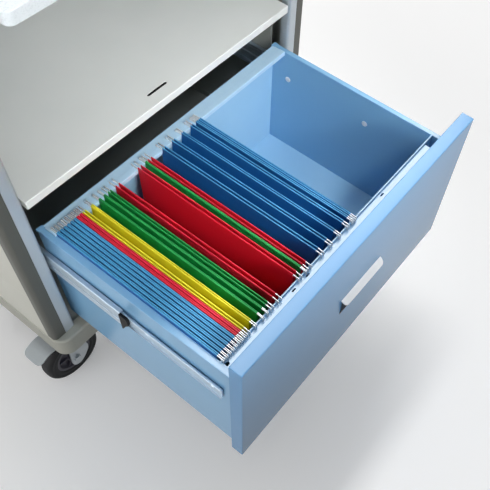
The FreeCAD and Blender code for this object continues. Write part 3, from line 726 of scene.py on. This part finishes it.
lip_rear = front_ledge.y1
lip_front = lip_rear - 2.5
ledge_top = 467.0
ledge_end = 261.3
ledge_slots = (-125.0, -90.0, 116.0)
corner_hole = (-279.5, -351.5)
front_lip = block((-wall_half, wall_half), (lip_front, lip_rear), (front_ledge.z0, front_ledge.z1), 0.6, 3)
ledge = plate(rectangle(-wall_half, ledge_end, front_ledge.y0, lip_front),
              [slot_outline(x, lip_front - 4.5, 9.0, 3.0, 4) for x in ledge_slots]
              + [slot_outline(*corner_hole, 9.0, 6.0, 4)], "z",
              ledge_top - rail_sheet, ledge_top)
show("front_rail_folded", [front_lip, ledge], rail_coat_painted_sheen, "drawer", ["front_rail"])

screw_radius = (screws.z1 - screws.z0) / 2
screw_z = (screws.z0 + screws.z1) / 2
screw_head = 2.4
heads = [button_head((wall_half, y, screw_z), "x", -1, screw_radius, screw_head, driver_recess)
         for y in (screws.y0 + screw_radius, screws.y1 - screw_radius)]
show("wall_screws_pan_head", across_middle(heads), bright_steel, "drawer", ["wall_screws"])

# Ball slides

bend = 1.6
slide_sheet = 1.5
groove_depth = 2.4
groove_half = 2.2
groove_rise = -3.0
member_depth = 4.7
member_lip = 1.2
pad_half_length = 11.0
pad_half_height = 7.0
pad_places = (0.06, 0.48, 0.88)
fixings_from_front = (18, 150)
fixing_from_rear = 30


def slide_sections(side):
    """The three members of the slide on one side, and its end bumper."""
    cabinet = span("cabinet_member_" + side)
    middle_member = span("middle_member_" + side)
    drawer = span("drawer_member_" + side)
    sign = 1 if side == "right" else -1

    def near_and_far(box):
        return sorted((abs(box.x0), abs(box.x1)))

    def member(path, box, radii):
        part = strip(path, "y", box.y0, box.y1, slide_sheet, radii)
        return part if sign > 0 else copied(part, RIGHT_TO_LEFT)

    tip, web = near_and_far(cabinet)
    show("cabinet_member_rolled_" + side,
         [member([(tip, cabinet.z1), (web, cabinet.z1), (web, cabinet.z0), (tip, cabinet.z0)], cabinet,
                 (0, bend, bend, 0))],
         zinc, "cabinet", ["cabinet_member_" + side])
    tip, web = near_and_far(middle_member)
    groove_z = (middle_member.z0 + middle_member.z1) / 2 + groove_rise
    show("middle_member_rolled_" + side,
         [member([(tip, middle_member.z1), (web, middle_member.z1), (web, groove_z + groove_half),
                  (web - groove_depth, groove_z + groove_half), (web - groove_depth, groove_z - groove_half),
                  (web, groove_z - groove_half), (web, middle_member.z0),
                  (tip, middle_member.z0)], middle_member, (0, bend, 0.5, 0.5, 0.5, 0.5, bend, 0))],
         zinc, "middle_" + side, ["middle_member_" + side])
    pad_face, tip = near_and_far(drawer)
    web = tip - member_depth
    channel = member([(tip, drawer.z0 + member_lip), (tip, drawer.z0), (web, drawer.z0), (web, drawer.z1),
                      (tip, drawer.z1), (tip, drawer.z1 - member_lip)], drawer, (0, 0.9, bend, bend, 0.9, 0))
    reach = drawer.y1 - drawer.y0
    level = (drawer.z0 + drawer.z1) / 2
    fixing_places = [drawer.y0 + y for y in fixings_from_front] + [drawer.y1 - fixing_from_rear]
    fixings = [button_head((sign * (web + slide_sheet), y, level), "x", sign, 4.5, 1.6, 1.5)
               for y in fixing_places]
    pads = [block((pad_face, web + slide_sheet / 2), (y - pad_half_length, y + pad_half_length),
                  (level - pad_half_height, level + pad_half_height), 0.5)
            for y in [drawer.y0 + reach * place for place in pad_places]]
    if sign < 0:
        pads = [copied(pad, RIGHT_TO_LEFT) for pad in pads]
    show("drawer_member_rolled_" + side, [channel] + pads + fixings, zinc, "drawer",
         ["drawer_member_" + side])
    stop = span("slide_bumper_" + side)
    nose = [(stop.y1, stop.z1 - 1), (stop.y0 + 3, stop.z1), (stop.y0, stop.z1 - 5), (stop.y0, stop.z0 + 25),
            (stop.y0 + 9, stop.z0 + 14), (stop.y1 - 3, stop.z0), (stop.y1, stop.z0)]
    wedge = prism(nose, "x", stop.x0, stop.x1, (0.5, 1.5, 2, 3, 3, 1, 0.5), 0.8)
    show("slide_bumper_moulded_" + side, [wedge], bumper_nylon, "middle_" + side,
         ["slide_bumper_" + side])


for side in ("left", "right"):
    slide_sections(side)
    for cage in ("outer_cage_", "inner_cage_"):
        looks = frame["nodes"][cage + side].data.materials
        looks.clear()
        looks.append(chrome_balls)

# Casters, drawn about the swivel axis and trailing towards -x

swivel = joint_place("swivel_front_left")
rear_swivel = joint_place("swivel_rear_left")
axle = joint_place("wheel_front_left")
trail = swivel.x - axle.x
axle_z = axle.z
plates = span("caster_plates")
wheel_centre = (-trail, 0, axle_z)
leg_gap = 39.0
leg_sheet = 3.0
crown_top = 132.0
crown_sheet = 4.0
cup_top = 144.0
race_radius = 28.0
race_bore = 8.0
crown_front = -50
tyre_radius = axle_z
tyre_half = 16.0
hub_radius = 41.0


def at_corner(parts, corner):
    """Parts of a caster moved to their corner of the cart."""
    rear = corner.startswith("rear")
    place = rear_swivel if rear else swivel
    turn = Matrix.Rotation(-math.pi / 2 if rear else 0.0, 4, "Z")
    move = Matrix.Translation((place.x, place.y, 0)) @ turn
    if corner.endswith("right"):
        move = RIGHT_TO_LEFT @ move
    return [copied(part, move) for part in parts]


def hexagon(centre, axis, low, high, radius):
    points = [(centre[0] + radius * math.cos(2 * math.pi * i / 6),
               centre[1] + radius * math.sin(2 * math.pi * i / 6)) for i in range(6)]
    return prism(points, axis, low, high, edge=0.5)


def fork_parts():
    half = leg_gap / 2 + leg_sheet
    leg_places = (-half, half - leg_sheet)
    under = crown_top - crown_sheet
    outline = [(-trail - 12, under + 1), (-trail - 11, axle_z + 30), (-trail - 14, axle_z - 12),
               (-trail - 6, axle_z - 27), (-trail + 8, axle_z - 27), (-trail + 24, axle_z - 12),
               (-trail + 33, axle_z + 6), (-trail + 26, axle_z + 36), (-trail + 40, under + 1)]
    legs = [prism(outline, "y", y, y + leg_sheet, (0, 6, 8, 9, 9, 10, 10, 8, 0), 0.6)
            for y in leg_places]
    crown = block((crown_front, race_radius), (-half, half), (under, crown_top))
    rounded(crown, 2.4, 3, lambda e: runs(e, "x") and middle(e).z > crown_top - 1)
    rounded(crown, 10.0, 5, lambda e: runs(e, "z") and middle(e).x > 0)
    cup_profile = [(race_bore, crown_top - 1), (race_radius, crown_top - 1), (race_radius, cup_top),
                   (race_bore, cup_top)]
    race_cup = turned(cup_profile, (0, 0, 0), "z", (0, 0, 3.0, 0))
    ears = [block((crown_front - 14, crown_front), (y, y + leg_sheet), (crown_top - 8, crown_top - 0.6),
                  0.8, 3)
            for y in leg_places]
    bolt = turned([(0, -half - 2), (5, -half - 2), (5, half + 2), (0, half + 2)], wheel_centre, "y",
                  (0, 0.8, 0.8, 0), 20)
    nuts = [hexagon((-trail, axle_z), "y", low, low + 4.5, 7.5) for low in (-half - 5.2, half + 0.7)]
    washers = [turned([(5, 0), (9, 0), (9, 0.9), (5, 0.9)], (-trail, low, axle_z), "y", (0, 0.2, 0.2, 0), 24)
               for low in (-half - 0.8, half - 0.1)]
    return legs + [crown, race_cup, bolt] + ears + nuts + washers


def tyre_parts():
    inner = [(hub_radius, -13.5), (45, -14.6), (50, -14.2), (54, -15.6), (tyre_radius - 5.5, -tyre_half),
             (tyre_radius - 0.6, -9.5)]
    tread = inner + [(tyre_radius, 0)] + [(r, -along) for r, along in reversed(inner)]
    radii = (0, 0.8, 1.5, 0.8, 2.5, 3)
    return [turned(tread, wheel_centre, "y", radii + (0,) + radii[::-1], 72)]


def hub_parts():
    boss = leg_gap / 2 - 0.4
    half = [(5.4, boss), (12.0, boss), (14.0, boss - 2), (14.5, 8), (18, 5.5), (29, 4.5), (33, 7),
            (35.5, 12.6), (hub_radius, 13.0)]
    profile = half + [(r, -along) for r, along in reversed(half)]
    disc = turned(profile, wheel_centre, "y", steps=64)
    ribs = []
    for index in range(6):
        angle = math.pi * index / 3
        for side in (-1, 1):
            rib = block((13.0, 35.0), (3.5 * side, 10.5 * side), (-1.3, 1.3), 0.5)
            if side < 0:
                outward(rib)
            turn = Matrix.Translation(wheel_centre) @ Matrix.Rotation(angle, 4, "Y")
            ribs.append(copied(rib, turn))
    return [disc] + ribs


plate_half_length = 38.0
plate_half_width = 28.0
plate_sheet = 6
plate_bolt_x = 31
plate_bolt_y = 21


def plate_parts():
    flat = block((-plate_half_length, plate_half_length), (-plate_half_width, plate_half_width),
                 (plates.z1 - plate_sheet, plates.z1))
    rounded(flat, 7.0, 4, lambda e: runs(e, "z"))
    rounded(flat, 0.8, 2, lambda e: not runs(e, "z"))
    race = turned([(0, cup_top + 0.4), (race_radius - 1, cup_top + 0.4), (race_radius, plates.z1 - 6.5),
                   (0, plates.z1 - 6.5)], (0, 0, 0), "z", (0, 2.0, 1.0, 0))
    pin = turned([(0, plates.z0), (10, plates.z0), (10, plates.z0 + 6), (6, plates.z0 + 6),
                  (6, plates.z1 - 7), (0, plates.z1 - 7)], (0, 0, 0), "z", (0, 2.0, 0.5, 0, 0, 0), 24)
    bolts = [hexagon((x, y), "z", plates.z1 - plate_sheet - 4.5, plates.z1 - plate_sheet, 5.5)
             for x in (-plate_bolt_x, plate_bolt_x) for y in (-plate_bolt_y, plate_bolt_y)]
    return [flat, race, pin] + bolts


pedal_left = -18.0
pedal_right = 30.0
pedal_top = 136.0
pedal_sheet = 3.0
pedal_pivot = -60
pedal_tip = -110
pedal_corner = 12.0
pivot_half = 19.2


def pedal_parts():
    profile = [(pedal_pivot, pedal_top), (-85, pedal_top), (pedal_tip, pedal_top - 12)]
    leaf = strip(profile, "y", pedal_left, pedal_right, pedal_sheet, (0, 6.0, 0))
    tips = [e for e in leaf.edges if abs(middle(e).x - pedal_tip) < 2.0 and not runs(e, "y")
            and min(abs(middle(e).y - y) for y in (pedal_left, pedal_right)) < 0.1]
    upright = [e for e in tips if e.calc_length() < pedal_sheet * 1.3]
    bevelled(leaf, upright, pedal_corner, 3)
    rounded(leaf, 0.8, 2, creased)
    neck = block((pedal_pivot - 3, pedal_pivot + 0.5), (-pivot_half, pivot_half),
                 (crown_top - crown_sheet, pedal_top - 0.2), 0.6)
    barrel = turned([(0, -pivot_half), (3.5, -pivot_half), (3.5, pivot_half), (0, pivot_half)],
                    (pedal_pivot, 0, crown_top - crown_sheet), "y", (0, 0.6, 0.6, 0), 20)
    return [leaf, neck, barrel]


rivet_x = -66.0
rivet_places = (-14.5, 25.5)
front_corners = ("front_left", "front_right")
corners = front_corners + ("rear_left", "rear_right")


def rivet_parts():
    dome = [(0, 0), (3.2, 0), (3.2, 0.9), (0, 2.0)]
    return [turned(dome, (rivet_x, y, pedal_top - 0.1), "z", (0, 0, 0.5, 0), 16) for y in rivet_places]


show("caster_plates_pressed", [part for corner in corners for part in at_corner(plate_parts(), corner)],
     caster_zinc, "cabinet", ["caster_plates"])
for corner in corners:
    show("fork_pressed_" + corner, at_corner(fork_parts(), corner), caster_zinc, "swivel_" + corner,
         ["fork_" + corner])
    show("tyre_moulded_" + corner, at_corner(tyre_parts(), corner), tread_rubber, "wheel_" + corner,
         ["tyre_" + corner])
    show("hub_moulded_" + corner, at_corner(hub_parts(), corner), hub_nylon, "wheel_" + corner,
         ["hub_" + corner])
for corner in front_corners:
    show("pedal_moulded_" + corner, at_corner(pedal_parts(), corner), pedal_nylon, "brake_" + corner,
         ["pedal_" + corner])
    show("pedal_rivets_" + corner, at_corner(rivet_parts(), corner), caster_zinc, "brake_" + corner)

# Suspension files

hanging = span("files_left_blue")
file_front = hanging.y0
file_rear = hanging.y1
file_top = hanging.z1 - 1.0
file_bottom = hanging.z0
rods = span("rods_left")
rod_sheet = 0.9
sheet_thickness = 0.4
belly_z = 372.0
hook_arch = 3.2

# Polypropylene, embossed with a fine grain: each sheet is painted paler along its fold, a painted highlight,
# and its faces fall into shade.
fold_highlight_depth = 1.6
sheet_colours = {"blue": ("#185CA2", "#57AEDE"), "red": ("#E01C30", "#EA3049"),
                 "yellow": ("#F6EB2A", "#FAF445"), "green": ("#149B44", "#33AC5B")}
polypropylene = {colour: hanging_sheet(colour + "_polypropylene", face, fold, file_top, fold_highlight_depth)
                 for colour, (face, fold) in sheet_colours.items()}


def solid_middles(node):
    """The middles across the drawer of a node's solids, from left to right, with their half widths."""
    part = bmesh.new()
    part.from_mesh(frame["nodes"][node].data)
    bmesh.ops.remove_doubles(part, verts=part.verts, dist=0.00001)
    left = set(part.verts)
    found = []
    while left:
        solid = [left.pop()]
        for vert in solid:
            near = {edge.other_vert(vert) for edge in vert.link_edges} & left
            left -= near
            solid.extend(near)
        low = min(vert.co.x for vert in solid) / MM
        high = max(vert.co.x for vert in solid) / MM
        found.append(((low + high) / 2, (high - low) / 2))
    part.free()
    return sorted(found)


def file_sheets(x, belly, spread, hem):
    """One file: a sheet folded over two rods that stand a spread either side of its middle, with hems
    of a given half width, meeting itself at the bottom."""
    inner = x + spread - hem
    outer = x + spread + hem
    full = x + max(belly, spread + hem)
    side = [(inner, file_top - 9), (inner, file_top), (outer, file_top), (outer, file_top - 9),
            (x + (full - x) * 0.9, 430), (full, belly_z), (x + belly * 0.9, 290),
            (x + belly * 0.5, file_bottom + 4), (x, file_bottom)]
    path = side + [(2 * x - a, b) for a, b in reversed(side[:-1])]
    half = (0, 0.8, 0.8, 4, 12, 16, 10, 3, 2)
    return strip(path, "y", file_front, file_rear, sheet_thickness, half + half[-2::-1])


def rod_strip(x):
    """A flat rod that arches over the front lip and hooks over the rear band."""
    low = rods.z0 + 0.2
    high = rods.z1 - 0.3
    arch = low + hook_arch
    outline = [(file_front + 0.5, low), (file_rear + 1, low), (rear_ledge.y0 - 1, rear_band_top + 0.5),
               (0.4, rear_band_top + 0.5), (0.9, shell.z1 + 0.4), (rods.y1, shell.z1 + 0.4),
               (rods.y1, high - 1.5), (file_rear + 2, high), (file_front - 1, high), (rods.y0, high - 1.2),
               (rods.y0, ledge_top + 1), (lip_front - 0.7, ledge_top + 1),
               (lip_front - 0.5, rear_band_top + 0.5),
               (lip_rear + 0.5, rear_band_top + 0.5), (lip_rear + 0.8, arch), (file_front - 0.3, arch)]
    return prism(outline, "x", x - rod_sheet / 2, x + rod_sheet / 2)


# How far each file's two rods stand from its middle, and the half width of the hems over them. Files that
# are squeezed together touch rod to rod; the others hang open.
tight = [(1.3, 1.12)]
spreads = {"files_left_blue": tight * 6,
           "files_left_red": tight * 2 + [(3.7, 0.85)],
           "files_left_yellow": [(2.4, 0.95), (1.5, 0.95)],
           "files_left_green": [(0.95, 0.85), (0.95, 0.85), (2.5, 0.85)],
           "files_middle": [(3.5, 0.85), (0.95, 0.85), (3.6, 0.85)],
           "files_right": [(2.8, 0.85), (2.55, 0.85), (1.95, 0.85), (2.3, 0.85), (1.6, 0.85), (1.75, 0.85)]}

file_groups = {"left": {"files_left_blue": "blue", "files_left_red": "red",
                        "files_left_yellow": "yellow", "files_left_green": "green"},
               "middle": {"files_middle": "red"},
               "right": {"files_right": "blue"}}
for group, nodes in file_groups.items():
    body = group + "_files"
    strips = []
    for node, colour in nodes.items():
        files = [(x, belly, spread, hem)
                 for (x, belly), (spread, hem) in zip(solid_middles(node), spreads[node])]
        strips += [rod_strip(x + side * spread) for x, belly, spread, hem in files for side in (-1, 1)]
        if group == "middle":
            green = files.pop(1)
            show("file_middle_green", [file_sheets(*green)], polypropylene["green"], body)
        show(node.replace("files", "file_sheets"), [file_sheets(*file) for file in files],
             polypropylene[colour], body, [node])
    show("rods_flat_" + group, strips, bright_steel, body, ["rods_" + group])

# Floor, light and camera

floor_half = 12.0
floor_glow = 0.2
backdrop_level = 0.85


def seen_directly(tree):
    """1 for what the camera sees, straight or in metal or glass, and 0 where light bounces."""
    rays = add(tree, "LightPath", {})
    seen = add(tree, "Math", {"operation": "ADD"}, {0: rays.outputs["Is Camera Ray"],
                                                             1: rays.outputs["Is Glossy Ray"]})
    return add(tree, "Math", {"operation": "ADD", "use_clamp": True},
               {0: seen.outputs[0], 1: rays.outputs["Is Transmission Ray"]}).outputs[0]


floor_mesh = bpy.data.meshes.new("floor")
floor_shape = bmesh.new()
bmesh.ops.create_grid(floor_shape, x_segments=1, y_segments=1, size=floor_half)
floor_shape.to_mesh(floor_mesh)
floor_shape.free()
# Painted studio floor: pale and matte, with a faint glow where it is seen. Light bounces off it as off
# a grey floor, so that the underside of the cart stays in shade.
studio_paint = coated("pale_studio_floor", "#F2F2F2", "#EFEFEF", 4.0, 0.01, (0.7, 0.8))
paint = studio_paint.node_tree
paint_shader = paint.nodes["Principled BSDF"]
shown = seen_directly(paint)
tone = paint_shader.inputs["Base Color"].links[0].from_socket
paint_tone = add(paint, "Mix", {"data_type": "RGBA", 6: linear("#A0A0A0")},
                 {0: shown, 7: tone})
paint.links.new(paint_tone.outputs[2], paint_shader.inputs["Base Color"])
glow = add(paint, "Math", {"operation": "MULTIPLY", 1: floor_glow}, {0: shown})
paint_shader.inputs["Emission Color"].default_value = linear("#FFFFFF")
paint.links.new(glow.outputs[0], paint_shader.inputs["Emission Strength"])
floor_mesh.materials.append(studio_paint)
floor = placed("studio_floor", floor_mesh)


def softbox(name, place, aim, size, watts, spread=180):
    """A soft lamp; a spread under 180 degrees is a grid that keeps its light off what lies beside it."""
    light = bpy.data.lights.new(name, "AREA")
    light.shape = "RECTANGLE"
    light.size, light.size_y = size
    light.energy = watts
    light.spread = math.radians(spread)
    lamp = placed(name, light)
    lamp.location = place
    lamp.rotation_euler = (Vector(aim) - Vector(place)).to_track_quat("-Z", "Y").to_euler()


softbox("overhead_softbox", place=(-1.3, 0.5, 6.0), aim=(-1.3, 0.4999, 0.0), size=(6.0, 3.0), watts=46)
softbox("strip_softbox", place=(3.4, 1.25, 6.0), aim=(3.4, 1.2499, 0.0), size=(6.6, 0.65), watts=225)
softbox("gridded_drawer_softbox", place=(-0.3, -1.5, 2.3), aim=(0.23, -0.34, 0.35), size=(0.4, 0.4),
        watts=0.38, spread=18)
softbox("gridded_bay_softbox", place=(-0.6, -1.6, 1.55), aim=(0.05, 0.05, 0.5), size=(0.7, 0.4),
        watts=1.65, spread=32)
softbox("left_fill", place=(-3.0, 0.5, 0.75), aim=(0.0, 0.2, 0.35), size=(2.6, 1.2), watts=36)

world = bpy.data.worlds.new("studio")
bpy.context.scene.world = world
world.use_nodes = True
sky = world.node_tree
direction = add(sky, "TexCoord", {})
up = add(sky, "SeparateXYZ", {}, {"Vector": direction.outputs["Generated"]})
ceiling = add(sky, "MapRange", {"From Min": 0.0, "From Max": 1.0, "To Min": 0.14, "To Max": 0.4},
              {"Value": up.outputs["Z"]})
background = sky.nodes["Background"]
background.inputs["Color"].default_value = linear("#F4F4F4")
level = add(sky, "Mix", {"data_type": "FLOAT", 3: backdrop_level},
            {0: seen_directly(sky), 2: ceiling.outputs["Result"]})
sky.links.new(level.outputs[0], background.inputs["Strength"])

camera_place = (-0.5714, -0.7340, 1.334)
camera_data = bpy.data.cameras.new("camera")
camera_data.sensor_width = 36.0
camera_data.lens = 49.62
camera_data.shift_x = -0.09953
camera_data.shift_y = 0.03096
camera = placed("camera", camera_data)
right = Vector((0.6097, -0.7903, 0.0616))
upward = Vector((0.639, 0.536, 0.5517))
backward = Vector((-0.469, -0.297, 0.8316))
turn = Matrix((right, upward, backward)).transposed().to_4x4()
camera.matrix_world = Matrix.Translation(camera_place) @ turn
bpy.context.scene.camera = camera
bpy.context.scene.view_settings.view_transform = "Standard"
